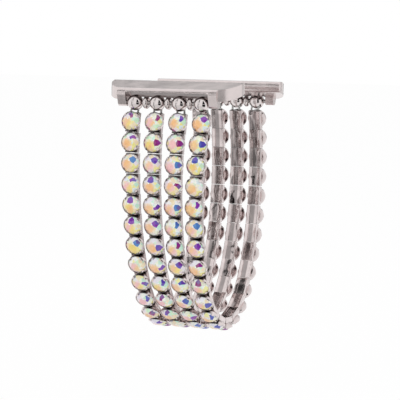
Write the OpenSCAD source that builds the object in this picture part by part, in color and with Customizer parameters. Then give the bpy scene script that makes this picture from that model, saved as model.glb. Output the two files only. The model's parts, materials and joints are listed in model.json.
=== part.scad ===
// Stretch watch band: four strands of separately set round rhinestones, strung on elastic
// cords between two metal lug adapters. Millimetres, X across the strands, Z up.
// The origin is the middle of the front adapter's tongue. The front is towards -Y.
// The band is drawn closed in its worn loop, with the stones facing out.

/* [Loop] */
// Settings in each strand
rows = 25; // [21:2:29]
// Distance from one setting to the next along a strand
link_pitch = 5.0; // [4.9:0.05:5.4]
// How far the first setting leans out from the vertical, in degrees
first_lean = 12.4; // [4:0.2:18]
// Bend at each joint along the sides, in degrees
side_bend = 4.8; // [3:0.1:6]
// How many joints the sharp bend at the foot of the loop spreads over
bend_spread = 2.45; // [2.2:0.05:3.6]

/* [Strands] */
// Distance between strands at the front adapter
spacing_front = 6.2; // [5.8:0.05:6.25]
// Distance between strands at the rear adapter
spacing_rear = 5.3; // [5.1:0.05:6.1]
// Distance between strands at the foot of the loop
spacing_mid = 5.22; // [5.05:0.01:5.6]
// How many rows the spread takes to die away
spacing_fade = 3.4; // [2:0.1:6]

/* [Setting] */
// Width of the box on the wrist side
box_w = 3.3; // [3.2:0.05:3.8]
// Gap between the boxes of two neighbouring settings
box_gap = 0.1; // [0.08:0.01:0.3]
// Height of the box
box_h = 1.5; // [1.45:0.05:1.8]
// Rounding of the box's wrist-side edges
box_round = 0.3; // [0.1:0.05:0.4]
// Width of the channel between the two raised rails
groove_w = 1.4; // [1:0.05:1.5]
// Depth of the channel between the rails
groove_d = 0.12; // [0.05:0.01:0.15]
// Outer diameter of the stone cup
cup_d = 4.86; // [4.7:0.02:4.88]
// Thickness of the cup's wall
cup_wall = 0.12; // [0.1:0.01:0.2]
// Diameter of the cup's foot, where it is soldered to the box
cup_foot_d = 3.8; // [3.5:0.05:4.2]
// Height at which the cup reaches its full diameter
cup_flare_h = 2.0; // [1.9:0.05:2.2]
// Height of the cup's rim
cup_h = 2.66; // [2.64:0.01:2.9]
// Thickness of the cup's floor over the box
cup_floor = 0.25; // [0.2:0.01:0.35]
// Width of a claw, as an angle round the cup
claw_angle = 16; // [10:1:24]
// How far a claw reaches in over the stone from the cup's wall
claw_reach = 0.32; // [0.2:0.02:0.4]
// Thickness of a claw
claw_t = 0.13; // [0.1:0.01:0.16]

/* [Stone] */
// Diameter of the stone's girdle
stone_d = 4.56; // [4.3:0.02:4.58]
// Height of the crown, from girdle to table
crown_h = 0.92; // [0.8:0.02:1.1]
// Depth of the pavilion under the girdle
pavilion_h = 0.75; // [0.7:0.01:0.8]
// Diameter of the flat table
table_d = 2.4; // [2:0.05:2.6]
// Diameter of the flat foot that rests in the cup
stone_foot_d = 2.4; // [2.2:0.05:2.5]

/* [Elastic cord] */
// Diameter of the elastic cord
cord_d = 0.5; // [0.4:0.05:0.55]
// Diameter of the cord channels through a box
channel_d = 1.0; // [0.95:0.01:1.04]
// Distance of each channel from the strand's middle
channel_x = 0.95; // [0.9:0.01:1]
// Height of the channels over the wrist side
channel_h = 0.78; // [0.75:0.01:0.82]
// Distance of each cord from the bead's middle where it meets the bar
wrap_x = 0.9; // [0.85:0.01:0.92]
// How far a cord moves in along the bar as it wraps it
wrap_shift = 0.5; // [0.4:0.05:0.6]
// Gap between a wrapped cord and the bar
wrap_gap = 0.03; // [0.01:0.01:0.06]

/* [End beads and bar] */
// Diameter of the round end beads
bead_d = 4; // [3.9:0.01:4.05]
// Wall of the hollow end beads
bead_wall = 0.37; // [0.3:0.01:0.4]
// Distance between end beads along the front bar
front_bead_pitch = 5.85; // [5.7:0.01:5.86]
// Distance between end beads along the rear bar
rear_bead_pitch = 5.5; // [5.46:0.01:5.86]
// Distance from the bar's axis to the hinge of the first setting
bead_reach = 2.35; // [2.3:0.01:2.6]
// Height of the bar's axis over the wrist side of the first setting
bead_rise = 1.9; // [1.8:0.05:2.0]
// Diameter of the spacer rings
spacer_d = 3.2; // [2.8:0.05:3.3]
// Width of the spacer rings
spacer_w = 1.25; // [1:0.05:1.35]
// Diameter of the bar
bar_d = 1.0; // [0.9:0.02:1.1]
// Radial clearance of beads and rings on the bar
bar_clear = 0.06; // [0.03:0.01:0.08]
// Diameter of the thin tips at the bar's ends
tip_d = 0.7; // [0.6:0.02:0.8]
// Length of each tip
tip_l = 1.2; // [0.8:0.05:1.4]
// Radial clearance of the tips in the legs
tip_clear = 0.03; // [0.02:0.01:0.05]

/* [Lug adapter] */
// Length of the tongue across the band
tongue_l = 34.4; // [33:0.1:36]
// Depth of the tongue between the centres of its round edges
tongue_depth = 7.2; // [6.5:0.1:8]
// Thickness of the tongue
tongue_t = 2.9; // [2.7:0.05:3.1]
// Slant of the tongue, rising away from the strands, in degrees
tongue_slant = 13.6; // [8:0.2:16]
// Height of the tongue's outer round edge over the bar's axis
tongue_rise = 2.2; // [2.1:0.05:2.5]
// How far that edge's centre lies outside the bar's axis
tongue_out = 0.4; // [0.2:0.05:0.6]
// Radius of the tongue's outer corners, seen from above
corner_r = 8; // [6:0.25:9]
// Radius of its inner corners, seen from above
inner_corner_r = 1.5; // [1:0.1:2]
// Clear width between the legs
leg_gap = 21.8; // [21.75:0.05:22.2]
// Thickness of the legs
leg_w = 2.2; // [1.8:0.05:2.6]
// Diameter of the round foot of each leg
foot_d = 2; // [1.8:0.05:2.4]
// Clearance round the end beads under the tongue
bead_clear = 0.47; // [0.35:0.01:0.5]

/* [Latch] */
// Diameter of the latch plunger's body
latch_d = 1.8; // [1.6:0.05:1.9]
// Diameter of the latch plunger's nose
nose_d = 1.3; // [1.1:0.05:1.4]
// How far the nose stands out of the tongue
nose_out = 0.6; // [0.4:0.05:0.65]
// Length of the plunger's body
latch_l = 0.9; // [0.8:0.05:0.95]
// Depth of the narrow mouth that holds the plunger in
mouth_l = 0.4; // [0.3:0.02:0.45]
// Radial clearance of the plunger in its hole
latch_clear = 0.06; // [0.04:0.01:0.08]
// Depth of the plunger's hole from the tongue's under side
latch_hole = 2.35; // [2.3:0.01:2.4]

/* [Hidden] */
function row_name(k) = str(k < 10 ? "0" : "", k);

strands = 4;
claws = 4;
$fn = 48;

// Extra length that a cut runs past the face it opens
over = 0.1;
// Clearance between the plunger's shoulder and its mouth, and at the bar's ends
rest_gap = 0.07;
// Cord rings: sides, and turn from one ring to the next where it wraps the bar
cord_sides = 8;
wrap_step = 45;
wrap_turn = 270;
// Facets of the stone round the girdle
girdle_n = 16;
table_n = girdle_n / 2;

silver = [0.80, 0.80, 0.82];
crystal = [0.95, 0.88, 0.90];
elastic = [0.88, 0.88, 0.86];

// Bend at joint j, from 0 above the first row to rows below the last
function foot_share(j) =
    exp(-pow((j - rows / 2 - 1.4) / bend_spread, 2)) +
    exp(-pow((j - rows / 2 + 1.4) / bend_spread, 2));
function sum_to(f, n) = n < 1 ? 0 : f[n - 1] + sum_to(f, n - 1);
inner_joints = [for (j = [1 : rows - 1]) foot_share(j)];
foot_bend = (180 + 2 * first_lean - (rows - 1) * side_bend) / sum_to(inner_joints, rows - 1);
function bend(j) = side_bend + foot_bend * foot_share(j);

// Direction of each row as an angle from straight down, and the two unit vectors it gives
row_angle = [for (k = 1, a = -first_lean; k <= rows; a = a + bend(k), k = k + 1) a];
function along(a) = [sin(a), -cos(a)];
function outward(a) = [-cos(a), -sin(a)];

// The tongue's middle is the origin, so the bar lies below it and in front
tongue_mid = [
    -tongue_out + tongue_depth / 2 * cos(tongue_slant),
    tongue_rise + tongue_depth / 2 * sin(tongue_slant)
];
front_bar_at = -tongue_mid;

// Hinge points on the wrist side, from the one above the first row to the one past the last
first_hinge = front_bar_at + bead_reach * along(row_angle[0]) - bead_rise * outward(row_angle[0]);
hinge_at = [
    for (k = 0, p = first_hinge; k <= rows;
        p = k < rows ? p + link_pitch * along(row_angle[k]) : p, k = k + 1) p
];
loop_mid_y = (hinge_at[0][0] + hinge_at[rows][0]) / 2;
rear_bar_at = [2 * loop_mid_y - front_bar_at[0], front_bar_at[1]];

// Distance between strands at row k, which spread towards each adapter
function spacing(k) =
    spacing_mid + (spacing_front - spacing_mid) * exp(-(k - 1) / spacing_fade) +
    (spacing_rear - spacing_mid) * exp(-(rows - k) / spacing_fade);
function strand_at(s) = s - (strands - 1) / 2;

box_l = link_pitch - box_gap;
floor_h = box_h + cup_floor;
girdle_h = floor_h + pavilion_h;
cavity_r = cup_d / 2 - cup_wall;
leg_x = leg_gap / 2;

// Sets a piece at row k: X across, Y up the strand, Z out from the wrist
module at_row(k, x = 0) {
    mid = (hinge_at[k - 1] + hinge_at[k]) / 2;
    translate([x, mid[0], mid[1]])
        rotate([90 + row_angle[k - 1], 0, 0])
            children();
}

// Sets a piece on the front bar's axis, with Y into the loop and Z up
module at_front_bar() {
    translate([0, front_bar_at[0], front_bar_at[1]]) children();
}

// Sets the same piece on the rear bar's axis, turned half round
module at_rear_bar() {
    translate([0, rear_bar_at[0], rear_bar_at[1]])
        rotate([0, 0, 180])
            children();
}

// Outline of the folded box, with its rails, the channel between them and the cord tubes
module box_outline() {
    difference() {
        union() {
            translate([-box_w / 2, box_round])
                square([box_w, box_h - box_round]);
            translate([-box_w / 2 + box_round, 0])
                square([box_w - 2 * box_round, box_h]);
            for (side = [-1, 1])
                translate([side * (box_w / 2 - box_round), box_round])
                    circle(r = box_round);
        }
        translate([-groove_w / 2, -over])
            square([groove_w, groove_d + over]);
        for (side = [-1, 1])
            translate([side * channel_x, channel_h])
                circle(d = channel_d);
    }
}

// Round cup: foot, flare, upright wall and a seat that follows the stone
module cup() {
    seat_foot_r = stone_foot_d / 2 + 0.1;
    rotate_extrude()
        polygon([
            [0, box_h - over], [cup_foot_d / 2, box_h - over],
            [cup_d / 2, cup_flare_h], [cup_d / 2, cup_h], [cavity_r, cup_h],
            [cavity_r, girdle_h - 0.05], [seat_foot_r, floor_h], [0, floor_h]
        ]);
}

// Claw folded in over the stone's crown
module claw() {
    r_out = cup_d / 2;
    r_in = cavity_r - claw_reach;
    rotate([0, 0, -claw_angle / 2])
        rotate_extrude(angle = claw_angle)
            polygon([
                [cavity_r, girdle_h], [r_out, girdle_h], [r_out, cup_h + 0.08],
                [r_out - claw_t, cup_h + 0.24], [r_in, cup_h + 0.3],
                [r_in - 0.05, cup_h + 0.3 - claw_t + 0.02], [cavity_r - 0.03, cup_h + 0.03]
            ]);
}

// One setting: box, cup and claws
module setting() {
    rotate([90, 0, 0])
        linear_extrude(height = box_l, center = true)
            box_outline();
    cup();
    for (i = [0 : claws - 1])
        rotate([0, 0, (i + 0.5) * 360 / claws])
            claw();
}

// One faceted stone: table, star, kite and girdle facets over a shallow pavilion
module stone() {
    girdle_r = stone_d / 2;
    table_r = table_d / 2;
    waist_r = (girdle_r + table_r) / 2 + 0.1;
    // Height at which a kite facet's side corners lie in its own plane
    waist_h = girdle_h + crown_h * (girdle_r - waist_r * cos(180 / table_n)) / (girdle_r - table_r);
    foot = [for (i = [0 : girdle_n - 1])
        [stone_foot_d / 2 * cos(i * 360 / girdle_n), stone_foot_d / 2 * sin(i * 360 / girdle_n), floor_h]];
    girdle = [for (i = [0 : girdle_n - 1])
        [girdle_r * cos(i * 360 / girdle_n), girdle_r * sin(i * 360 / girdle_n), girdle_h]];
    waist = [for (i = [0 : table_n - 1])
        [waist_r * cos((i + 0.5) * 360 / table_n), waist_r * sin((i + 0.5) * 360 / table_n), waist_h]];
    table = [for (i = [0 : table_n - 1])
        [table_r * cos(i * 360 / table_n), table_r * sin(i * 360 / table_n), girdle_h + crown_h]];
    n = girdle_n;
    m = table_n;
    w0 = 2 * n;
    t0 = w0 + m;
    polyhedron(
        points = concat(foot, girdle, waist, table),
        faces = concat(
            [[for (i = [0 : n - 1]) i]],
            [for (i = [0 : n - 1]) [i, n + i, n + (i + 1) % n, (i + 1) % n]],
            [for (i = [0 : m - 1]) [n + 2 * i, w0 + i, n + 2 * i + 1]],
            [for (i = [0 : m - 1]) [n + 2 * i + 1, w0 + i, n + (2 * i + 2) % n]],
            [for (i = [0 : m - 1]) [n + 2 * i, w0 + (i + m - 1) % m, t0 + i, w0 + i]],
            [for (i = [0 : m - 1]) [w0 + i, t0 + i, t0 + (i + 1) % m]],
            [[for (i = [m - 1 : -1 : 0]) t0 + i]]
        )
    );
}

// The four settings of row k, which bend together
module settings_row(k) {
    color(silver)
        for (s = [0 : strands - 1])
            at_row(k, strand_at(s) * spacing(k)) setting();
}

// The four stones of row k
module stones_row(k) {
    color(crystal)
        for (s = [0 : strands - 1])
            at_row(k, strand_at(s) * spacing(k)) stone();
}

// Hollow round bead, bored for the bar and slotted on the wrist side for the cords
module end_bead() {
    bore_r = bar_d / 2 + bar_clear;
    slot_w = 2 * (wrap_x + cord_d / 2) + 0.7;
    cord_line = bead_rise - channel_h;
    difference() {
        rotate([0, 90, 0])
            rotate_extrude()
                difference() {
                    circle(d = bead_d);
                    circle(d = bead_d - 2 * bead_wall);
                    translate([bore_r - bead_d, -bead_d])
                        square([bead_d, 2 * bead_d]);
                }
        translate([-slot_w / 2, -bead_d, -cord_line - cord_d / 2 - 0.15])
            cube([slot_w, bead_d - 0.5, cord_d + 0.65]);
    }
}

// Flat ring with a round rim
module spacer_ring() {
    bore_r = bar_d / 2 + bar_clear;
    rim_r = spacer_w / 2;
    rotate([0, 90, 0])
        rotate_extrude()
            difference() {
                union() {
                    translate([0, -rim_r])
                        square([spacer_d / 2 - rim_r, spacer_w]);
                    translate([spacer_d / 2 - rim_r, 0]) circle(r = rim_r);
                }
                translate([bore_r - spacer_d, -spacer_d])
                    square([spacer_d, 2 * spacer_d]);
            }
}

// Beads and rings threaded on one bar; the slots face the first row
module bar_beads(pitch) {
    rotate([90 + row_angle[0], 0, 0]) {
        for (s = [0 : strands - 1])
            translate([strand_at(s) * pitch, 0, 0]) end_bead();
        for (s = [0.5 : 1 : strands - 1.5])
            translate([strand_at(s) * pitch, 0, 0]) spacer_ring();
    }
}

module front_bar_beads() {
    color(silver) at_front_bar() bar_beads(front_bead_pitch);
}

module rear_bar_beads() {
    color(silver) at_rear_bar() bar_beads(rear_bead_pitch);
}

// Bar with a thin tip at each end that springs into the legs
module bar() {
    barrel_l = leg_gap - 2 * rest_gap;
    rotate([0, 90, 0]) {
        cylinder(d = bar_d, h = barrel_l, center = true);
        cylinder(d = tip_d, h = leg_gap + 2 * tip_l, center = true);
    }
}

module front_bar() {
    color(silver) at_front_bar() bar();
}

module rear_bar() {
    color(silver) at_rear_bar() bar();
}

// Pill outline between two points
module pill(from, to, r) {
    run = to - from;
    translate(from) circle(r = r);
    translate(to) circle(r = r);
    translate(from)
        rotate([0, 0, atan2(run[1], run[0])])
            translate([0, -r])
                square([norm(run), 2 * r]);
}

// Stands an outline drawn in Y and Z up along X
module across(width) {
    rotate([90, 0, 90])
        linear_extrude(height = width, center = true)
            children();
}

// Outline round two circles of different radius
module taper(from, from_r, to, to_r) {
    run = to - from;
    turn = acos((from_r - to_r) / norm(run));
    way = atan2(run[1], run[0]);
    translate(from) circle(r = from_r);
    translate(to) circle(r = to_r);
    polygon([
        from + from_r * [cos(way + turn), sin(way + turn)],
        from + from_r * [cos(way - turn), sin(way - turn)],
        to + to_r * [cos(way - turn), sin(way - turn)],
        to + to_r * [cos(way + turn), sin(way + turn)]
    ]);
}

tongue_outer = [-tongue_out, tongue_rise];
tongue_inner = 2 * tongue_mid - tongue_outer;

// Tongue seen from above: outer corners follow the watch, inner ones are small
module tongue_plan() {
    front = tongue_outer[0] - tongue_t / 2;
    back = tongue_inner[0] + tongue_t / 2;
    half = tongue_l / 2;
    translate([-half + corner_r, front])
        square([tongue_l - 2 * corner_r, back - front]);
    translate([-half, front + corner_r])
        square([tongue_l, back - front - corner_r - inner_corner_r]);
    translate([-half + inner_corner_r, back - 2 * inner_corner_r])
        square([tongue_l - 2 * inner_corner_r, 2 * inner_corner_r]);
    for (side = [-1, 1]) {
        translate([side * (half - corner_r), front + corner_r]) circle(r = corner_r, $fn = 96);
        translate([side * (half - inner_corner_r), back - inner_corner_r]) circle(r = inner_corner_r);
    }
}

// Leg at one end of the bar, narrowing to a round foot
module leg() {
    across(leg_w) taper([0, 0], foot_d / 2, tongue_outer, tongue_t / 2);
}

// Adapter: tongue with its lip over the beads, legs, tip holes and latch hole
module lug() {
    relief_r = bead_d / 2 + bead_clear;
    difference() {
        union() {
            difference() {
                intersection() {
                    across(tongue_l) pill(tongue_outer, tongue_inner, tongue_t / 2);
                    linear_extrude(height = tongue_l, center = true) tongue_plan();
                }
                rotate([0, 90, 0])
                    cylinder(r = relief_r, h = leg_gap, center = true);
                translate([-leg_gap / 2, -tongue_t - 1, -relief_r])
                    cube([leg_gap, tongue_t + 1, 2 * relief_r]);
            }
            for (side = [0, 1])
                mirror([side, 0, 0])
                    translate([leg_x + leg_w / 2, 0, 0]) leg();
        }
        rotate([0, 90, 0])
            cylinder(d = tip_d + 2 * tip_clear, h = leg_gap + 2 * (tip_l + rest_gap), center = true);
        in_tongue() latch_hole();
    }
}

// Sets a piece at the tongue's middle, with Z square to its slant
module in_tongue() {
    translate([0, tongue_mid[0], tongue_mid[1]])
        rotate([tongue_slant, 0, 0])
            children();
}

// Stepped hole for the plunger, open on the tongue's under side
module latch_hole() {
    under = -tongue_t / 2;
    translate([0, 0, under - over])
        cylinder(d = nose_d + 2 * latch_clear, h = mouth_l + 2 * over);
    translate([0, 0, under + mouth_l])
        cylinder(d = latch_d + 2 * latch_clear, h = latch_hole - mouth_l);
}

// Plunger with a round nose; its shoulder rests just clear of the mouth
module latch() {
    under = -tongue_t / 2;
    shoulder = under + mouth_l + rest_gap;
    nose_r = nose_d / 2;
    translate([0, 0, under - nose_out + nose_r])
        cylinder(r = nose_r, h = shoulder - under + nose_out - nose_r + over);
    translate([0, 0, under - nose_out + nose_r]) sphere(r = nose_r);
    translate([0, 0, shoulder]) cylinder(d = latch_d, h = latch_l);
}

module front_lug() {
    color(silver) at_front_bar() lug();
}

module rear_lug() {
    color(silver) at_rear_bar() lug();
}

module front_latch() {
    color(silver) at_front_bar() in_tongue() latch();
}

module rear_latch() {
    color(silver) at_rear_bar() in_tongue() latch();
}

// Where a cord crosses joint j, at the channels' height
function cord_joint(j, s, side) =
    let (before = j == 0 ? row_angle[0] : row_angle[j - 1])
    let (after = j == rows ? row_angle[rows - 1] : row_angle[j])
    let (mid = (before + after) / 2)
    let (p = hinge_at[j] + channel_h / cos((after - before) / 2) * outward(mid))
    let (gap_spacing = (spacing(max(j, 1)) + spacing(min(j + 1, rows))) / 2)
    [strand_at(s) * gap_spacing + side * channel_x, p[0], p[1]];

// The cord's turn round a bar, from its end to where it leaves for the strand
wrap_r = (bar_d / 2 + cord_d / 2 + wrap_gap) / cos(wrap_step / 2);
function cord_wrap(s, side, pitch) = [
    for (t = [wrap_turn : -wrap_step : 0])
        let (x = strand_at(s) * pitch + side * (wrap_x - wrap_shift * t / wrap_turn))
        let (p = front_bar_at - wrap_r * cos(t) * outward(row_angle[0])
            - wrap_r * sin(t) * along(row_angle[0]))
        [x, p[0], p[1]]
];
function to_rear(points) = [for (p = points) [p[0], 2 * loop_mid_y - p[1], p[2]]];
function reversed(points) = [for (i = [len(points) - 1 : -1 : 0]) points[i]];
function cord_route(s, side) = concat(
    cord_wrap(s, side, front_bead_pitch),
    [for (j = [0 : rows]) cord_joint(j, s, side)],
    reversed(to_rear(cord_wrap(s, side, rear_bead_pitch)))
);

function unit(v) = v / norm(v);

// Tube along a route, one ring at each point, square to the route there
module cord(route) {
    last = len(route) - 1;
    rings = [
        for (i = [0 : last])
            let (run = unit(route[min(i + 1, last)] - route[max(i - 1, 0)]))
            let (flat = unit([1, 0, 0] - run[0] * run))
            let (up = cross(run, flat))
            [for (c = [0 : cord_sides - 1])
                route[i] + cord_d / 2 * (cos(c * 360 / cord_sides) * flat
                    + sin(c * 360 / cord_sides) * up)]
    ];
    n = cord_sides;
    polyhedron(
        points = [for (ring = rings) for (p = ring) p],
        faces = concat(
            [[for (c = [0 : n - 1]) c]],
            [for (i = [0 : last - 1]) for (c = [0 : n - 1])
                [i * n + c, (i + 1) * n + c, (i + 1) * n + (c + 1) % n]],
            [for (i = [0 : last - 1]) for (c = [0 : n - 1])
                [i * n + c, (i + 1) * n + (c + 1) % n, i * n + (c + 1) % n]],
            [[for (c = [n - 1 : -1 : 0]) last * n + c]]
        )
    );
}

// Two cords for each strand, threaded through every box
module elastic_cords() {
    color(elastic)
        for (s = [0 : strands - 1])
            for (side = [-1, 1])
                cord(cord_route(s, side));
}

front_lug();
front_bar();
front_bar_beads();
front_latch();
for (k = [1 : rows])
    settings_row(k);
for (k = [1 : rows])
    stones_row(k);
rear_bar_beads();
rear_bar();
rear_lug();
rear_latch();
elastic_cords();
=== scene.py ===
import json
import math
import random

import bpy
import numpy as np
from mathutils import Matrix, Vector


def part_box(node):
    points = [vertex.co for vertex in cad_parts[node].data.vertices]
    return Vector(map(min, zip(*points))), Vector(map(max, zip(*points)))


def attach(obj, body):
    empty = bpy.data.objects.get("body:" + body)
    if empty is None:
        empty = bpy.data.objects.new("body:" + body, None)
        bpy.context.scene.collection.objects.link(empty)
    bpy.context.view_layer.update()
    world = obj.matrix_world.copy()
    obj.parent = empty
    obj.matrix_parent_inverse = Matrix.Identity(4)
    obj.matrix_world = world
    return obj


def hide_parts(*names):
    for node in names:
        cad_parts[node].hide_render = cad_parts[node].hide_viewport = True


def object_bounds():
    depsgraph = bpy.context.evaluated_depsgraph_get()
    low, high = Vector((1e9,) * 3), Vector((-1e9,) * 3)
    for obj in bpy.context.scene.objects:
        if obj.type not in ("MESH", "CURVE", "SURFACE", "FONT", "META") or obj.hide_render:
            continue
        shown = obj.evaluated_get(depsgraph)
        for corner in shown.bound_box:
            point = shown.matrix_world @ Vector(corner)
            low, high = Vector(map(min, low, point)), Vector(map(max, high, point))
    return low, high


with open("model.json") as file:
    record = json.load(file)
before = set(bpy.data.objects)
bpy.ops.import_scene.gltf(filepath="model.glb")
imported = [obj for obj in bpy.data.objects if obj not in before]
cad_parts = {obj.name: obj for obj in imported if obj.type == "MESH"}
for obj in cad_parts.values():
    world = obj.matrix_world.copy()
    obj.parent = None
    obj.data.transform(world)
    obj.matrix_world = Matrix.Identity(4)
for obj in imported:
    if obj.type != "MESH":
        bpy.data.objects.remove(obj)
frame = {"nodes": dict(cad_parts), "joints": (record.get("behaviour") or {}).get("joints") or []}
solid_low, solid_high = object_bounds()
scene = bpy.context.scene
scene.view_settings.view_transform = "Standard"

# Studio: the photograph's view, a pale floor below the hanging band and a white tent round it.
# Three soft boxes light the band and stay out of its mirrors. Cards that only mirrors see give the
# polished metal its dark stripes.
aim, away = Vector((0.000755, 0.01825, -0.02825)), 0.5223
turn, rise, tilt = math.radians(20.67), math.radians(4.43), math.radians(1.22)
SENSOR_MM, FOCAL_PX, PHOTO_PX = 36, 2035.7, 400
sight = Vector((-math.sin(turn) * math.cos(rise), math.cos(turn) * math.cos(rise), -math.sin(rise)))
level = Vector((math.cos(turn), math.sin(turn), 0))
plumb = level.cross(sight)
right = math.cos(tilt) * level + math.sin(tilt) * plumb
above = -math.sin(tilt) * level + math.cos(tilt) * plumb
lens = bpy.data.cameras.new("photo_lens")
lens.sensor_width = SENSOR_MM
lens.lens = SENSOR_MM * FOCAL_PX / PHOTO_PX
lens.clip_start, lens.clip_end = 0.01, 20
camera = bpy.data.objects.new("photo_camera", lens)
scene.collection.objects.link(camera)
place = Matrix((right, above, -sight)).transposed().to_4x4()
place.translation = aim - away * sight
camera.matrix_world = place
scene.camera = camera


def soft_box(name, at, size, watts):
    lamp = bpy.data.lights.new(name, "AREA")
    lamp.shape, lamp.size, lamp.size_y, lamp.energy = "RECTANGLE", size[0], size[1], watts
    box = bpy.data.objects.new(name, lamp)
    scene.collection.objects.link(box)
    box.location = at
    box.rotation_euler = (Vector(at) - aim).to_track_quat("Z", "Y").to_euler()
    box.visible_glossy = False


soft_box("key_box", at=(-0.42, -0.62, 0.38), size=(0.80, 0.80), watts=1.9)
soft_box("fill_box", at=(0.62, -0.30, 0.16), size=(0.56, 0.68), watts=1.0)
soft_box("top_box", at=(0.02, 0.10, 0.62), size=(0.55, 0.55), watts=1.1)


def add_node(tree, kind, sources=None, **settings):
    """Adds a shader node whose inputs are plain values or other nodes' outputs."""
    node = tree.nodes.new(kind)
    for name, value in settings.items():
        setattr(node, name, value)
    for name, source in (sources or {}).items():
        if isinstance(source, bpy.types.NodeSocket):
            tree.links.new(source, node.inputs[name])
        else:
            node.inputs[name].default_value = source
    return node


def reckon(tree, operation, *sources):
    """Adds a math node and gives its result."""
    return add_node(tree, "ShaderNodeMath", dict(enumerate(sources)), operation=operation).outputs[0]


def spread(tree, value, start, end, at_start, at_end, run="LINEAR"):
    """Adds a map range node and gives its result."""
    spans = {"Value": value, "From Min": start, "From Max": end, "To Min": at_start, "To Max": at_end}
    return add_node(tree, "ShaderNodeMapRange", spans, interpolation_type=run).outputs["Result"]


def seen_plain(tree):
    """Gives 1 to rays from the camera, mirrors and glass, and 0 to the rest."""
    path = add_node(tree, "ShaderNodeLightPath").outputs
    seen = reckon(tree, "MAXIMUM", path["Is Camera Ray"], path["Is Glossy Ray"])
    return reckon(tree, "MAXIMUM", seen, path["Is Transmission Ray"])


tent_fill = 0.6
tent = bpy.data.worlds.new("tent")
scene.world = tent
tent.use_nodes = True
sky = tent.node_tree
sky.nodes.clear()
sky_level = spread(sky, seen_plain(sky), 0, 1, tent_fill, 1)
sky_glow = add_node(sky, "ShaderNodeBackground", {"Color": (1, 1, 1, 1), "Strength": sky_level})
add_node(sky, "ShaderNodeOutputWorld", {"Surface": sky_glow.outputs[0]})

floor_z, floor_half, paper_white = solid_low.z - 0.014, 4, 0.97
floor_mesh = bpy.data.meshes.new("studio_floor")
floor_mesh.from_pydata(
    [(x * floor_half, y * floor_half, floor_z) for x, y in ((-1, -1), (1, -1), (1, 1), (-1, 1))],
    [], [(0, 1, 2, 3)])
floor = bpy.data.objects.new("studio_floor", floor_mesh)
scene.collection.objects.link(floor)
paper = bpy.data.materials.new("paper_sweep")
paper.use_nodes = True
paper_tree = paper.node_tree
paper_coat = paper_tree.nodes["Principled BSDF"]
paper_coat.inputs["Base Color"].default_value = (0.9, 0.9, 0.9, 1)
paper_coat.inputs["Roughness"].default_value = 0.9
paper_glow = add_node(paper_tree, "ShaderNodeEmission")
paper_mix = add_node(paper_tree, "ShaderNodeMixShader", {
    "Fac": spread(paper_tree, seen_plain(paper_tree), 0, 1, 0, paper_white),
    1: paper_coat.outputs[0], 2: paper_glow.outputs[0]})
paper_tree.links.new(paper_mix.outputs[0], paper_tree.nodes["Material Output"].inputs["Surface"])
floor_mesh.materials.append(paper)


def mirror_card(name, shade, corners):
    """A matt card that only mirrors see."""
    mesh = bpy.data.meshes.new(name)
    mesh.from_pydata(corners, [], [tuple(range(len(corners)))])
    card = bpy.data.objects.new(name, mesh)
    scene.collection.objects.link(card)
    card.visible_camera = card.visible_diffuse = card.visible_shadow = card.visible_transmission = False
    matt = bpy.data.materials.new(name)
    matt.use_nodes = True
    matt_coat = matt.node_tree.nodes["Principled BSDF"]
    matt_coat.inputs["Base Color"].default_value = (shade, shade, shade, 1)
    matt_coat.inputs["Specular IOR Level"].default_value = 0
    mesh.materials.append(matt)


def from_band(aside, upward, reach=0.5, start=aim):
    """Point at a distance from the band, in degrees right of and above the line to the camera."""
    aside, upward = math.radians(aside), math.radians(upward)
    level_reach = reach * math.cos(upward)
    sideways = level_reach * math.sin(aside) * right
    return start + sideways + reach * math.sin(upward) * above - level_reach * math.cos(aside) * sight


def on_floor(aside, reach):
    """Point just over the floor at a distance from the band, in degrees right of the camera."""
    spot = from_band(aside, 0, reach)
    spot.z = floor_z + 0.004
    return spot


# The wedge on each bead is two cards, parted where the tongue's end would mirror them.
bar_front, flag_reach = Vector((0, -0.003, -0.003)), 0.15
for name, corners in (
        ("flag_card", ((8, -2.5), (48, -2.5), (22, 48))),
        ("flag_foot_card", ((8, -6), (6, -28), (54, -38), (49, -6)))):
    mirror_card(name, 0.01, [from_band(*corner, flag_reach, bar_front) for corner in corners])
for name, shade, corners in (
        ("far_card", 0.7, ((124, -60), (140, -60), (140, 60), (124, 60))),
        ("left_card", 0.01, ((-58, -5), (-49, -5), (-49, 8), (-58, 8))),
        ("slim_card", 0.3, ((-41, -5), (-36, -5), (-35, 8), (-40, 8))),
        ("grey_card", 1.0, ((-68, 6), (-32, 6), (-32, 38), (-68, 38))),
        ("high_card", 0.06, ((-52, 24), (-44, 24), (-43, 64), (-54, 64))),
        ("high_slim_card", 0.06, ((-39, 14), (-34, 14), (-33, 64), (-38, 64))),
        ("back_card", 0.35, ((155, 3), (205, 3), (205, 34), (155, 34))),
        ("roof_card", 0.1, ((-70, 68), (0, 68), (0, 86), (-70, 86)))):
    mirror_card(name, shade, [from_band(*corner) for corner in corners])
mirror_card("low_card", 0.85, [
    Vector((x, y, floor_z + 0.002)) for x, y in ((-0.12, -0.03), (0.20, -0.03), (0.26, -0.20), (-0.16, -0.20))])
mirror_card("floor_card", 0.3, [
    on_floor(*corner) for corner in ((-62, 0.05), (-49, 0.05), (-49, 0.5), (-62, 0.5))])

# Lug adapters: zinc castings polished and rhodium plated, one at each end of the band.
# The tongue slides into a slot of its own section, the lip shades the beads, and the two legs
# carry the bar.


def effect_group(name, inputs, outputs):
    """New shader node group, with the outputs of its group input."""
    group = bpy.data.node_groups.new(name, "ShaderNodeTree")
    for label, value in inputs.items():
        socket = group.interface.new_socket(label, in_out="INPUT", socket_type="NodeSocketFloat")
        socket.default_value = value
    for label in outputs:
        group.interface.new_socket(label, in_out="OUTPUT", socket_type="NodeSocketFloat")
    return group, group.nodes.new("NodeGroupInput").outputs


def object_place(tree):
    return add_node(tree, "ShaderNodeTexCoord").outputs["Object"]


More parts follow.
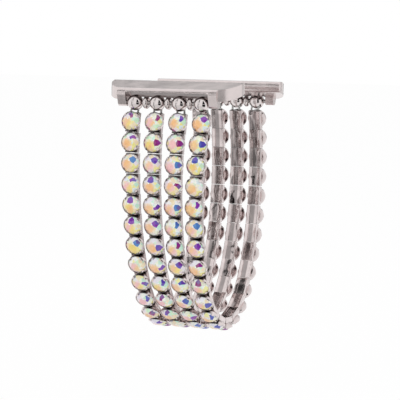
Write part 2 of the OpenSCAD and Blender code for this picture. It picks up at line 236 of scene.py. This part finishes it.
def stored_vector(tree, name):
    return add_node(tree, "ShaderNodeAttribute", attribute_name=name).outputs["Vector"]


def vector_parts(tree, vector):
    return add_node(tree, "ShaderNodeSeparateXYZ", {0: vector}).outputs


plating, given = effect_group("plating_haze", {
    "Patch Size": 900, "Lightest": 1.0, "Darkest": 0.9, "Smooth": 0.06, "Hazy": 0.14}, ["Shade", "Roughness"])
cloud_low, cloud_high = 0.3, 0.7
cloud = add_node(plating, "ShaderNodeTexNoise", {
    "Vector": object_place(plating), "Scale": given["Patch Size"], "Detail": 3}).outputs["Fac"]
add_node(plating, "NodeGroupOutput", {
    "Shade": spread(plating, cloud, cloud_low, cloud_high, given["Darkest"], given["Lightest"]),
    "Roughness": spread(plating, cloud, cloud_low, cloud_high, given["Smooth"], given["Hazy"])})

lines, given = effect_group("polish_lines", {"Fineness": 2500, "Stretch": 0.06}, ["Height"])
line_stretch = add_node(lines, "ShaderNodeCombineXYZ", {"X": given["Stretch"], "Y": 1, "Z": 1})
line_place = add_node(lines, "ShaderNodeVectorMath", {
    0: object_place(lines), 1: line_stretch.outputs[0]}, operation="MULTIPLY")
line_noise = add_node(lines, "ShaderNodeTexNoise", {
    "Vector": line_place.outputs[0], "Scale": given["Fineness"]})
add_node(lines, "NodeGroupOutput", {"Height": line_noise.outputs["Fac"]})


def dimmed(tree, colour, shade):
    """Multiplies a colour by a shade and gives the result."""
    mix = add_node(tree, "ShaderNodeMix", data_type="RGBA", blend_type="MULTIPLY")
    mix.inputs["Factor"].default_value = 1
    for name, source in (("A", colour), ("B", shade)):
        if isinstance(source, bpy.types.NodeSocket):
            tree.links.new(source, mix.inputs[name])
        else:
            mix.inputs[name].default_value = source
    return mix.outputs["Result"]


def haze_coat(material, colour, **levels):
    """Gives a material's coat its colour, shade and haze from the plating group."""
    tree = material.node_tree
    coat = tree.nodes["Principled BSDF"]
    haze = add_node(tree, "ShaderNodeGroup", node_tree=plating)
    for name, value in levels.items():
        haze.inputs[name.replace("_", " ").title()].default_value = value
    tree.links.new(dimmed(tree, colour, haze.outputs["Shade"]), coat.inputs["Base Color"])
    tree.links.new(haze.outputs["Roughness"], coat.inputs["Roughness"])


def plated_metal(name, colour, patch_size=900, darkest=0.9, smooth=0.06, hazy=0.14,
                 fineness=2500, stretch=0.06, depth=0.000004):
    """Metal whose shade, haze and polishing lines come from the two groups."""
    metal = bpy.data.materials.new(name)
    metal.use_nodes = True
    tree = metal.node_tree
    coat = tree.nodes["Principled BSDF"]
    coat.inputs["Metallic"].default_value = 1
    haze_coat(metal, (*colour, 1), patch_size=patch_size, darkest=darkest, smooth=smooth, hazy=hazy)
    grain = add_node(tree, "ShaderNodeGroup", node_tree=lines)
    grain.inputs["Fineness"].default_value = fineness
    grain.inputs["Stretch"].default_value = stretch
    bump = add_node(tree, "ShaderNodeBump", {
        "Strength": 0.4, "Distance": depth, "Height": grain.outputs["Height"]})
    tree.links.new(bump.outputs["Normal"], coat.inputs["Normal"])
    return metal


def dress(node, material):
    solid = frame["nodes"][node]
    solid.data.materials.clear()
    solid.data.materials.append(material)


def shade_by(metal, group):
    """Multiplies a plated metal's colour by the shade that a group gives."""
    tree = metal.node_tree
    colour = tree.nodes["Principled BSDF"].inputs["Base Color"]
    shade = add_node(tree, "ShaderNodeGroup", node_tree=group)
    tree.links.new(dimmed(tree, colour.links[0].from_socket, shade.outputs["Shade"]), colour)


def own_field(node, name, points):
    """Stores a vector at every vertex of a CAD solid."""
    field = frame["nodes"][node].data.attributes.new(name, "FLOAT_VECTOR", "POINT")
    field.data.foreach_set("vector", points.astype(np.float32).ravel())


def vertices_mm(node):
    mesh = frame["nodes"][node].data
    points = np.empty(len(mesh.vertices) * 3)
    mesh.vertices.foreach_get("co", points)
    return points.reshape(-1, 3) * 1000


def bar_middle_mm(end):
    low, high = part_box(f"{end}_bar")
    return (low + high) * 500


# Painted shade: the channel under the lip is painted darker than the faces round it, where the lip's shade falls.
hollow, given = effect_group("channel_painted_shade", {
    "Start": 2.5, "End": 2.62, "Between Legs": 10.8, "Darkest": 0.38}, ["Shade"])
at = vector_parts(hollow, stored_vector(hollow, "from_bar_mm"))
off_bar = add_node(hollow, "ShaderNodeCombineXYZ", {"Y": reckon(hollow, "MAXIMUM", at["Y"], 0), "Z": at["Z"]})
off_bar_far = add_node(hollow, "ShaderNodeVectorMath", {0: off_bar.outputs[0]}, operation="LENGTH")
channel = spread(hollow, off_bar_far.outputs["Value"], given["Start"], given["End"], given["Darkest"], 1)
on_leg = reckon(hollow, "GREATER_THAN", reckon(hollow, "ABSOLUTE", at["X"]), given["Between Legs"])
add_node(hollow, "NodeGroupOutput", {"Shade": reckon(hollow, "MAXIMUM", channel, on_leg)})

lug_plate = plated_metal("lug_rhodium", (0.76, 0.68, 0.67), patch_size=260, darkest=0.88, smooth=0.15, hazy=0.26)
# The lug's colour is multiplied by the channel's painted shade.
shade_by(lug_plate, hollow)
for end, inward in (("front", 1), ("rear", -1)):
    from_bar = vertices_mm(f"{end}_lug") - np.array(bar_middle_mm(end))
    own_field(f"{end}_lug", "from_bar_mm", from_bar * np.array((1, inward, 1)))
    dress(f"{end}_lug", lug_plate)

# Bars: turned stainless pins, one from leg to leg of each adapter.
# Their tips are sprung into blind holes in the legs.
bar_steel = plated_metal("bar_turned_steel", (0.60, 0.58, 0.57), patch_size=700, smooth=0.18, hazy=0.3,
                         fineness=9000, stretch=1, depth=0.000006)
dress("front_bar", bar_steel)
dress("rear_bar", bar_steel)

# Latch plungers: small turned steel pins, one in the underside of each tongue.
# A spring pushes them out, and they hold the tongue in its slot.
latch_steel = plated_metal("latch_turned_steel", (0.55, 0.53, 0.52), patch_size=1500, smooth=0.15, hazy=0.28)
dress("front_latch", latch_steel)
dress("rear_latch", latch_steel)

# End beads and rings: hollow balls and flat rings in mirror polished silver plate.
# They are threaded on the bar under the lip, and the cords turn round inside the balls.
bead_silver = plated_metal("bead_silver_plate", (0.76, 0.70, 0.69), patch_size=400, darkest=0.94,
                           smooth=0.02, hazy=0.06, fineness=5000, stretch=1, depth=0.0000015)
dress("front_bar_beads", bead_silver)
dress("rear_bar_beads", bead_silver)

# Settings: a round cup with four claws soldered on a folded box, plated as one piece.
# Each row of four rides on its own body; the boxes meet edge to edge on the wrist side.
STRANDS, CUP_D = 4, 4.86
hinge_spots = {j["name"]: Vector(j["pos_m"]) * 1000 for j in frame["joints"] if j["name"].startswith("link_")}
hinges = [hinge_spots[name] for name in sorted(hinge_spots)]
rows = []
for k, (top, foot) in enumerate(zip(hinges, hinges[1:]), 1):
    up = (top - foot).normalized()
    low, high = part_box(f"settings_row_{k:02d}")
    spacing = ((high.x - low.x) * 1000 - CUP_D) / (STRANDS - 1)
    rows.append({"name": f"{k:02d}", "mid": (top + foot) / 2, "up": up, "out": Vector((1, 0, 0)).cross(up),
                 "xs": [(s - (STRANDS - 1) / 2) * spacing for s in range(STRANDS)]})


def setting_place(row, x):
    """Matrix from a setting's own millimetres (X across, Y up the strand, Z out) to the frame in metres."""
    turned = Matrix((Vector((1, 0, 0)), row["up"], row["out"])).transposed().to_4x4()
    turned.translation = row["mid"] + Vector((x, 0, 0))
    return Matrix.Scale(0.001, 4) @ turned


# Painted shade: the plating is painted darker in the gap between two cups and under a cup's flare, and a painted dark
# reflection lies between the rails.
crevice, given = effect_group("gap_painted_shade", {
    "Start": 1.8, "End": 2.4, "Darkest": 0.2, "Box Top": 1.45, "Flare Top": 2.1, "Flare Shade": 0.8,
    "Groove In": 0.45, "Groove Out": 0.74, "Groove Depth": 0.2, "Groove Shade": 0.5}, ["Shade"])
at = vector_parts(crevice, stored_vector(crevice, "setting_mm"))
gap = spread(crevice, reckon(crevice, "ABSOLUTE", at["Y"]), given["Start"], given["End"], 1, given["Darkest"],
             "SMOOTHSTEP")
flare = spread(crevice, at["Z"], given["Box Top"], given["Flare Top"], given["Flare Shade"], 1)
on_box = reckon(crevice, "LESS_THAN", at["Z"], given["Box Top"])
cup_side = reckon(crevice, "MAXIMUM", reckon(crevice, "MULTIPLY", gap, flare), on_box)
groove = spread(crevice, reckon(crevice, "ABSOLUTE", at["X"]), given["Groove In"], given["Groove Out"],
                given["Groove Shade"], 1, "SMOOTHSTEP")
off_plate = reckon(crevice, "GREATER_THAN", at["Z"], given["Groove Depth"])
wrist_side = reckon(crevice, "MAXIMUM", groove, off_plate)
add_node(crevice, "NodeGroupOutput", {"Shade": reckon(crevice, "MULTIPLY", cup_side, wrist_side)})

# The plates on the wrist side are slightly domed and dented, and each leans its own way.
doming, given = effect_group("plate_doming", {
    "Dome": 0.00003, "Dents": 0.00014, "Dent Size": 330, "Plate Depth": 0.4, "Lean": 0.00018}, ["Height"])
own_place = stored_vector(doming, "setting_mm")
dome_place = add_node(doming, "ShaderNodeVectorMath", {0: own_place, 1: (1, 0.6, 0)}, operation="MULTIPLY").outputs[0]
dome = add_node(doming, "ShaderNodeVectorMath", {0: dome_place, 1: dome_place}, operation="DOT_PRODUCT")
dents = add_node(doming, "ShaderNodeTexNoise", {
    "Vector": object_place(doming), "Scale": given["Dent Size"], "Detail": 1})
lean = add_node(doming, "ShaderNodeVectorMath", {
    0: own_place, 1: stored_vector(doming, "setting_lean")}, operation="DOT_PRODUCT")
dome_drop = reckon(doming, "MULTIPLY", dome.outputs["Value"], given["Dome"])
dent_rise = reckon(doming, "MULTIPLY", dents.outputs["Fac"], given["Dents"])
lean_rise = reckon(doming, "MULTIPLY", lean.outputs["Value"], given["Lean"])
plate_rise = reckon(doming, "ADD", reckon(doming, "SUBTRACT", dent_rise, dome_drop), lean_rise)
on_plate = reckon(doming, "LESS_THAN", vector_parts(doming, own_place)["Z"], given["Plate Depth"])
add_node(doming, "NodeGroupOutput", {"Height": reckon(doming, "MULTIPLY", plate_rise, on_plate)})

setting_silver = plated_metal("setting_silver_plate", (0.80, 0.71, 0.70), patch_size=500, darkest=0.82,
                              smooth=0.05, hazy=0.16)
# The settings' colour is multiplied by the painted shade in the gaps and the painted reflection in the groove.
shade_by(setting_silver, crevice)
setting_tree = setting_silver.node_tree
setting_normal = setting_tree.nodes["Principled BSDF"].inputs["Normal"]
plate_form = add_node(setting_tree, "ShaderNodeGroup", node_tree=doming)
plate_bump = add_node(setting_tree, "ShaderNodeBump", {
    "Distance": 1, "Height": plate_form.outputs["Height"], "Normal": setting_normal.links[0].from_socket})
setting_tree.links.new(plate_bump.outputs["Normal"], setting_normal)

lean_luck = random.Random(12)
for row in rows:
    node = f"settings_row_{row['name']}"
    points = vertices_mm(node) - np.array(row["mid"])
    strand_x = np.array(row["xs"])
    strand = np.abs(points[:, :1] - strand_x).argmin(1)
    leans = np.array([(lean_luck.uniform(-1, 1), lean_luck.uniform(-1, 1), 0) for _ in row["xs"]])
    own_field(node, "setting_lean", leans[strand])
    own_field(node, "setting_mm", np.stack([
        points[:, 0] - strand_x[strand], points @ np.array(row["up"]), points @ np.array(row["out"])], 1))
    dress(node, setting_silver)

# Stones: round cut crystal with a rainbow coating and a foiled back, one in each cup, drawn opaque with the coating's
# tints and painted light on their facets.
# The crown is cut in a table, eight kites and sixteen girdle facets, held by the claws.
GIRDLE_R, TABLE_R, STAR_R, GIRDLE_Z, TABLE_Z = 2.28, 1.2, 0.62, 2.5, 3.42
SKIRT_IN, SKIRT_DROP = 0.06, 0.1
WAIST_R = (GIRDLE_R + TABLE_R) / 2 + 0.1
WAIST_Z = GIRDLE_Z + (TABLE_Z - GIRDLE_Z) * (GIRDLE_R - WAIST_R * math.cos(math.pi / 8)) / (GIRDLE_R - TABLE_R)


def paint(r, g, b):
    """A colour as seen on screen, made linear."""
    return tuple(c / 12.92 if c <= 0.04045 else ((c + 0.055) / 1.055) ** 2.4 for c in (r, g, b))


# Stone colours, partly the coating's own tints and partly painted light: warm tints for a painted glow, pale tints
# whose white also serves as a painted highlight, violet and blue for painted flashes, quarter tints, a rose rim tint,
# and a grey for painted darker reflections.
PAINTED_GLOW = [paint(1.0, 0.76, 0.52), paint(1.0, 0.82, 0.58), paint(1.0, 0.88, 0.50), paint(1.0, 0.80, 0.62),
        paint(1.0, 0.78, 0.78)]
PALE = [paint(1.0, 1.0, 1.0), paint(1.0, 1.0, 0.90), paint(1.0, 1.0, 0.97), paint(0.86, 0.98, 0.84),
        paint(1.0, 0.97, 0.68), paint(0.98, 0.99, 0.90), paint(0.92, 0.97, 0.98), paint(1.0, 0.92, 0.78),
        paint(0.99, 0.95, 0.98)]
PAINTED_FLASH = [paint(0.42, 0.24, 0.72), paint(0.56, 0.22, 0.70), paint(0.62, 0.20, 0.50), paint(0.32, 0.32, 0.72),
         paint(0.34, 0.52, 0.80)]
QUARTERS = [paint(0.84, 0.98, 0.90), paint(0.97, 0.95, 0.99), paint(1.0, 0.90, 0.84), paint(1.0, 0.96, 0.62)]
ROSE = paint(0.80, 0.50, 0.68)
SHADE = paint(0.70, 0.66, 0.70)


def blend_of(a, b, share):
    return tuple(x + (y - x) * share for x, y in zip(a, b))


def stone_colours(luck):
    """Gives a function from a facet, and a place on it, to its colour: one stone's coating tints with painted light.

    A painted warm glow fills the lower left, one or two facets at the upper right carry a painted violet
    or blue flash with painted white highlights beside it, a few rims are rose, and the rest are pale, with a
    tint of their quarter placed where the light shows it and a few rim facets in painted darker reflection.
    """
    glow, second = luck.choice(PAINTED_GLOW), luck.choice(PAINTED_GLOW)
    heart = Vector((-0.55 + luck.uniform(-0.3, 0.3), -0.45 + luck.uniform(-0.3, 0.35)))
    reach = luck.uniform(1.45, 1.95)
    corner = luck.choice([0, 1, 1, 1, 2])
    flash, other = luck.choice(PAINTED_FLASH), luck.choice(PAINTED_FLASH)
    before = (corner + 7) % 8
    right_of = [("kite", corner), ("star", corner), ("outer", corner)]
    left_of = [("kite", corner), ("star", before), ("outer", before)]
    lit = luck.choice([[], right_of, left_of] + 4 * [right_of + left_of + [("inner", before)]])
    painted_sparks = [("rim", 2 * corner), ("rim", 2 * corner + 1), ("inner", corner)] if lit else []
    rosy = luck.choice([7, 8, 9, 10]) if luck.random() < 0.4 else None
    pale = {}

    def colour(kind, i, x, y):
        if (kind, i) in lit:
            return blend_of(flash, other, 0.4 if kind == "kite" else 0.0)
        if (kind, i) in painted_sparks:
            return PALE[0]
        if rosy is not None and kind == "rim" and i in (rosy, rosy + 1):
            return ROSE
        quarter = QUARTERS[int(math.degrees(math.atan2(y, x)) % 360 // 90)]
        choices = PALE + 7 * [quarter] + 2 * [SHADE] if kind == "rim" else PALE + 4 * [quarter]
        base = pale.setdefault((kind, i), luck.choice(choices))
        share = max(0.0, 1 - (Vector((x, y)) - heart).length / reach)
        waves = 0.5 + 0.5 * math.sin(2.1 * x - 1.3 * y)
        return blend_of(base, blend_of(glow, second, waves), min(1.0, share * 1.9))

    return colour


def stone_facets():
    """Corner points in millimetres and facets of one stone; the flat table is split into facets whose painted colours
    stand for the pavilion's star seen through it.
    """
    def ring(count, r, z, turned=0.0):
        angles = [(i + turned) * 2 * math.pi / count for i in range(count)]
        return [(r * math.cos(a), r * math.sin(a), z) for a in angles]

    points = ring(16, GIRDLE_R - SKIRT_IN, GIRDLE_Z - SKIRT_DROP) + ring(16, GIRDLE_R, GIRDLE_Z)
    points += ring(8, WAIST_R, WAIST_Z, 0.5) + ring(8, TABLE_R, TABLE_Z) + ring(8, STAR_R, TABLE_Z, 0.5)
    points.append((0, 0, TABLE_Z))
    skirt, girdle, waist, table, star, middle = 0, 16, 32, 40, 48, 56
    facets = [("back", 0, tuple(range(15, -1, -1)))]
    for i in range(16):
        facets.append(("edge", i, (skirt + i, skirt + (i + 1) % 16, girdle + (i + 1) % 16, girdle + i)))
    for i in range(8):
        j = (i + 1) % 8
        facets.append(("rim", 2 * i, (girdle + 2 * i, girdle + 2 * i + 1, waist + i)))
        facets.append(("rim", 2 * i + 1, (girdle + 2 * i + 1, girdle + (2 * i + 2) % 16, waist + i)))
        facets.append(("kite", i, (girdle + 2 * i, waist + i, table + i, waist + (i + 7) % 8)))
        facets.append(("star", i, (waist + i, table + j, table + i)))
        facets.append(("outer", i, (table + i, table + j, star + i)))
        facets.append(("inner", i, (table + j, star + j, star + i)))
        facets.append(("heart", i, (star + i, star + j, middle)))
    return points, facets


# The crystal's colour is each facet's stored colour: the coating's tints with the painted glow, flashes, highlights
# and darker reflections.
crystal = bpy.data.materials.new("crystal_coat_and_painted_light")
crystal.use_nodes = True
for label, value in (("IOR", 1.6), ("Coat Weight", 0.35), ("Coat Roughness", 0.02),
                     ("Thin Film Thickness", 380), ("Thin Film IOR", 1.7)):
    crystal.node_tree.nodes["Principled BSDF"].inputs[label].default_value = value
facet_tint_and_light = add_node(crystal.node_tree, "ShaderNodeAttribute", attribute_name="facet_tint_and_light")
haze_coat(crystal, facet_tint_and_light.outputs["Color"], patch_size=1400, darkest=0.93, smooth=0.05, hazy=0.12)

facet_points, facets = stone_facets()
TOWARD_MIDDLE = 0.6
luck = random.Random(41)
for row in rows:
    points, faces, tints = [], [], []
    for x in row["xs"]:
        place = setting_place(row, x)
        start = len(points)
        points += [place @ Vector(p) for p in facet_points]
        colour = stone_colours(luck)
        for kind, number, face in facets:
            faces.append(tuple(start + i for i in face))
            middle = sum((Vector(facet_points[i]) for i in face), Vector()) / len(face)
            shade = luck.uniform(0.93, 1.0)
            for i in face:
                here = Vector(facet_points[i]).lerp(middle, TOWARD_MIDDLE)
                tints.append(tuple(shade * c for c in colour(kind, number, here.x, here.y)) + (1.0,))
    mesh = bpy.data.meshes.new(f"stones_{row['name']}")
    mesh.from_pydata(points, [], faces)
    field = mesh.attributes.new("facet_tint_and_light", "FLOAT_COLOR", "CORNER")
    field.data.foreach_set("color", np.array(tints, np.float32).ravel())
    mesh.materials.append(crystal)
    stones = bpy.data.objects.new(f"stones_{row['name']}", mesh)
    scene.collection.objects.link(stones)
    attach(stones, f"row_{row['name']}")
    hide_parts(f"stones_row_{row['name']}")

# Elastic cords: clear stretch cord, two through the box of every setting of a strand.
# They loop round the bars inside the end beads, so each stretch moves with what holds it.
CORD_R, CORD_X, CORD_H, CORD_SIDES = 0.25, 0.95, 0.78, 12
stretch_cord = bpy.data.materials.new("clear_stretch_cord")
stretch_cord.use_nodes = True
cord_coat = stretch_cord.node_tree.nodes["Principled BSDF"]
cord_coat.inputs["Transmission Weight"].default_value = 0.3
cord_coat.inputs["IOR"].default_value = 1.49
haze_coat(stretch_cord, (0.80, 0.80, 0.77, 1), patch_size=800, smooth=0.3, hazy=0.45)


def cord_run(points, faces, route):
    """Adds a round tube along a route, in millimetres, with closed ends."""
    start = len(points)
    for i, here in enumerate(route):
        run = (route[min(i + 1, len(route) - 1)] - route[max(i - 1, 0)]).normalized()
        flat = (Vector((1, 0, 0)) - run * run.x).normalized()
        rise_to = run.cross(flat)
        for c in range(CORD_SIDES):
            a = 2 * math.pi * c / CORD_SIDES
            points.append((here + CORD_R * (math.cos(a) * flat + math.sin(a) * rise_to)) / 1000)
    for i in range(len(route) - 1):
        for c in range(CORD_SIDES):
            a, b = start + i * CORD_SIDES + c, start + i * CORD_SIDES + (c + 1) % CORD_SIDES
            faces.append((a, b, b + CORD_SIDES, a + CORD_SIDES))
    faces.append(tuple(start + c for c in reversed(range(CORD_SIDES))))
    last = start + (len(route) - 1) * CORD_SIDES
    faces.append(tuple(last + c for c in range(CORD_SIDES)))


def cord_piece(name, body, points, faces):
    mesh = bpy.data.meshes.new(name)
    mesh.from_pydata(points, [], faces)
    mesh.polygons.foreach_set("use_smooth", [len(p.vertices) == 4 for p in mesh.polygons])
    mesh.materials.append(stretch_cord)
    piece = bpy.data.objects.new(name, mesh)
    scene.collection.objects.link(piece)
    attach(piece, body)
    return piece


# A stretch ends at the joint with the next row, and inside its box where a loop meets it.
TO_JOINT, INSIDE_BOX, LOOP_END = 2.47, 2.3, 2.58
for row in rows:
    points, faces = [], []
    head = INSIDE_BOX if row is rows[0] else TO_JOINT
    foot = INSIDE_BOX if row is rows[-1] else TO_JOINT
    for x in row["xs"]:
        for side in (-1, 1):
            place = setting_place(row, x)
            ends = [place @ Vector((side * CORD_X, y, CORD_H)) * 1000 for y in (head, 0, -foot)]
            cord_run(points, faces, ends)
    cord_piece(f"cords_{row['name']}", f"row_{row['name']}", points, faces)

WRAP_R, WRAP_X, WRAP_SHIFT, WRAP_TURN, WRAP_STEP = 0.78, 0.9, 0.5, 270, 15
for end, body, row, inward, bead_pitch in (
        ("front", "front_beads", rows[0], 1, 5.85), ("rear", "rear_beads", rows[-1], -1, 5.5)):
    points, faces = [], []
    bar_mid = bar_middle_mm(end)
    along, outward = row["up"] * -inward, row["out"]
    for s, x in enumerate(row["xs"]):
        bead_x = (s - (STRANDS - 1) / 2) * bead_pitch
        for side in (-1, 1):
            wrap = []
            for t in range(WRAP_TURN, -1, -WRAP_STEP):
                wind = math.radians(t)
                at_x = bead_x + side * (WRAP_X - WRAP_SHIFT * t / WRAP_TURN)
                off_mid = WRAP_R * (math.cos(wind) * outward + math.sin(wind) * along)
                wrap.append(Vector((at_x, bar_mid.y, bar_mid.z)) - off_mid)
            leave = setting_place(row, x) @ Vector((side * CORD_X, inward * LOOP_END, CORD_H)) * 1000
            cord_run(points, faces, wrap + [leave])
    loops = cord_piece(f"cord_loops_{end}", body, points, faces)
    if end == "front":
        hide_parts("elastic_cords")
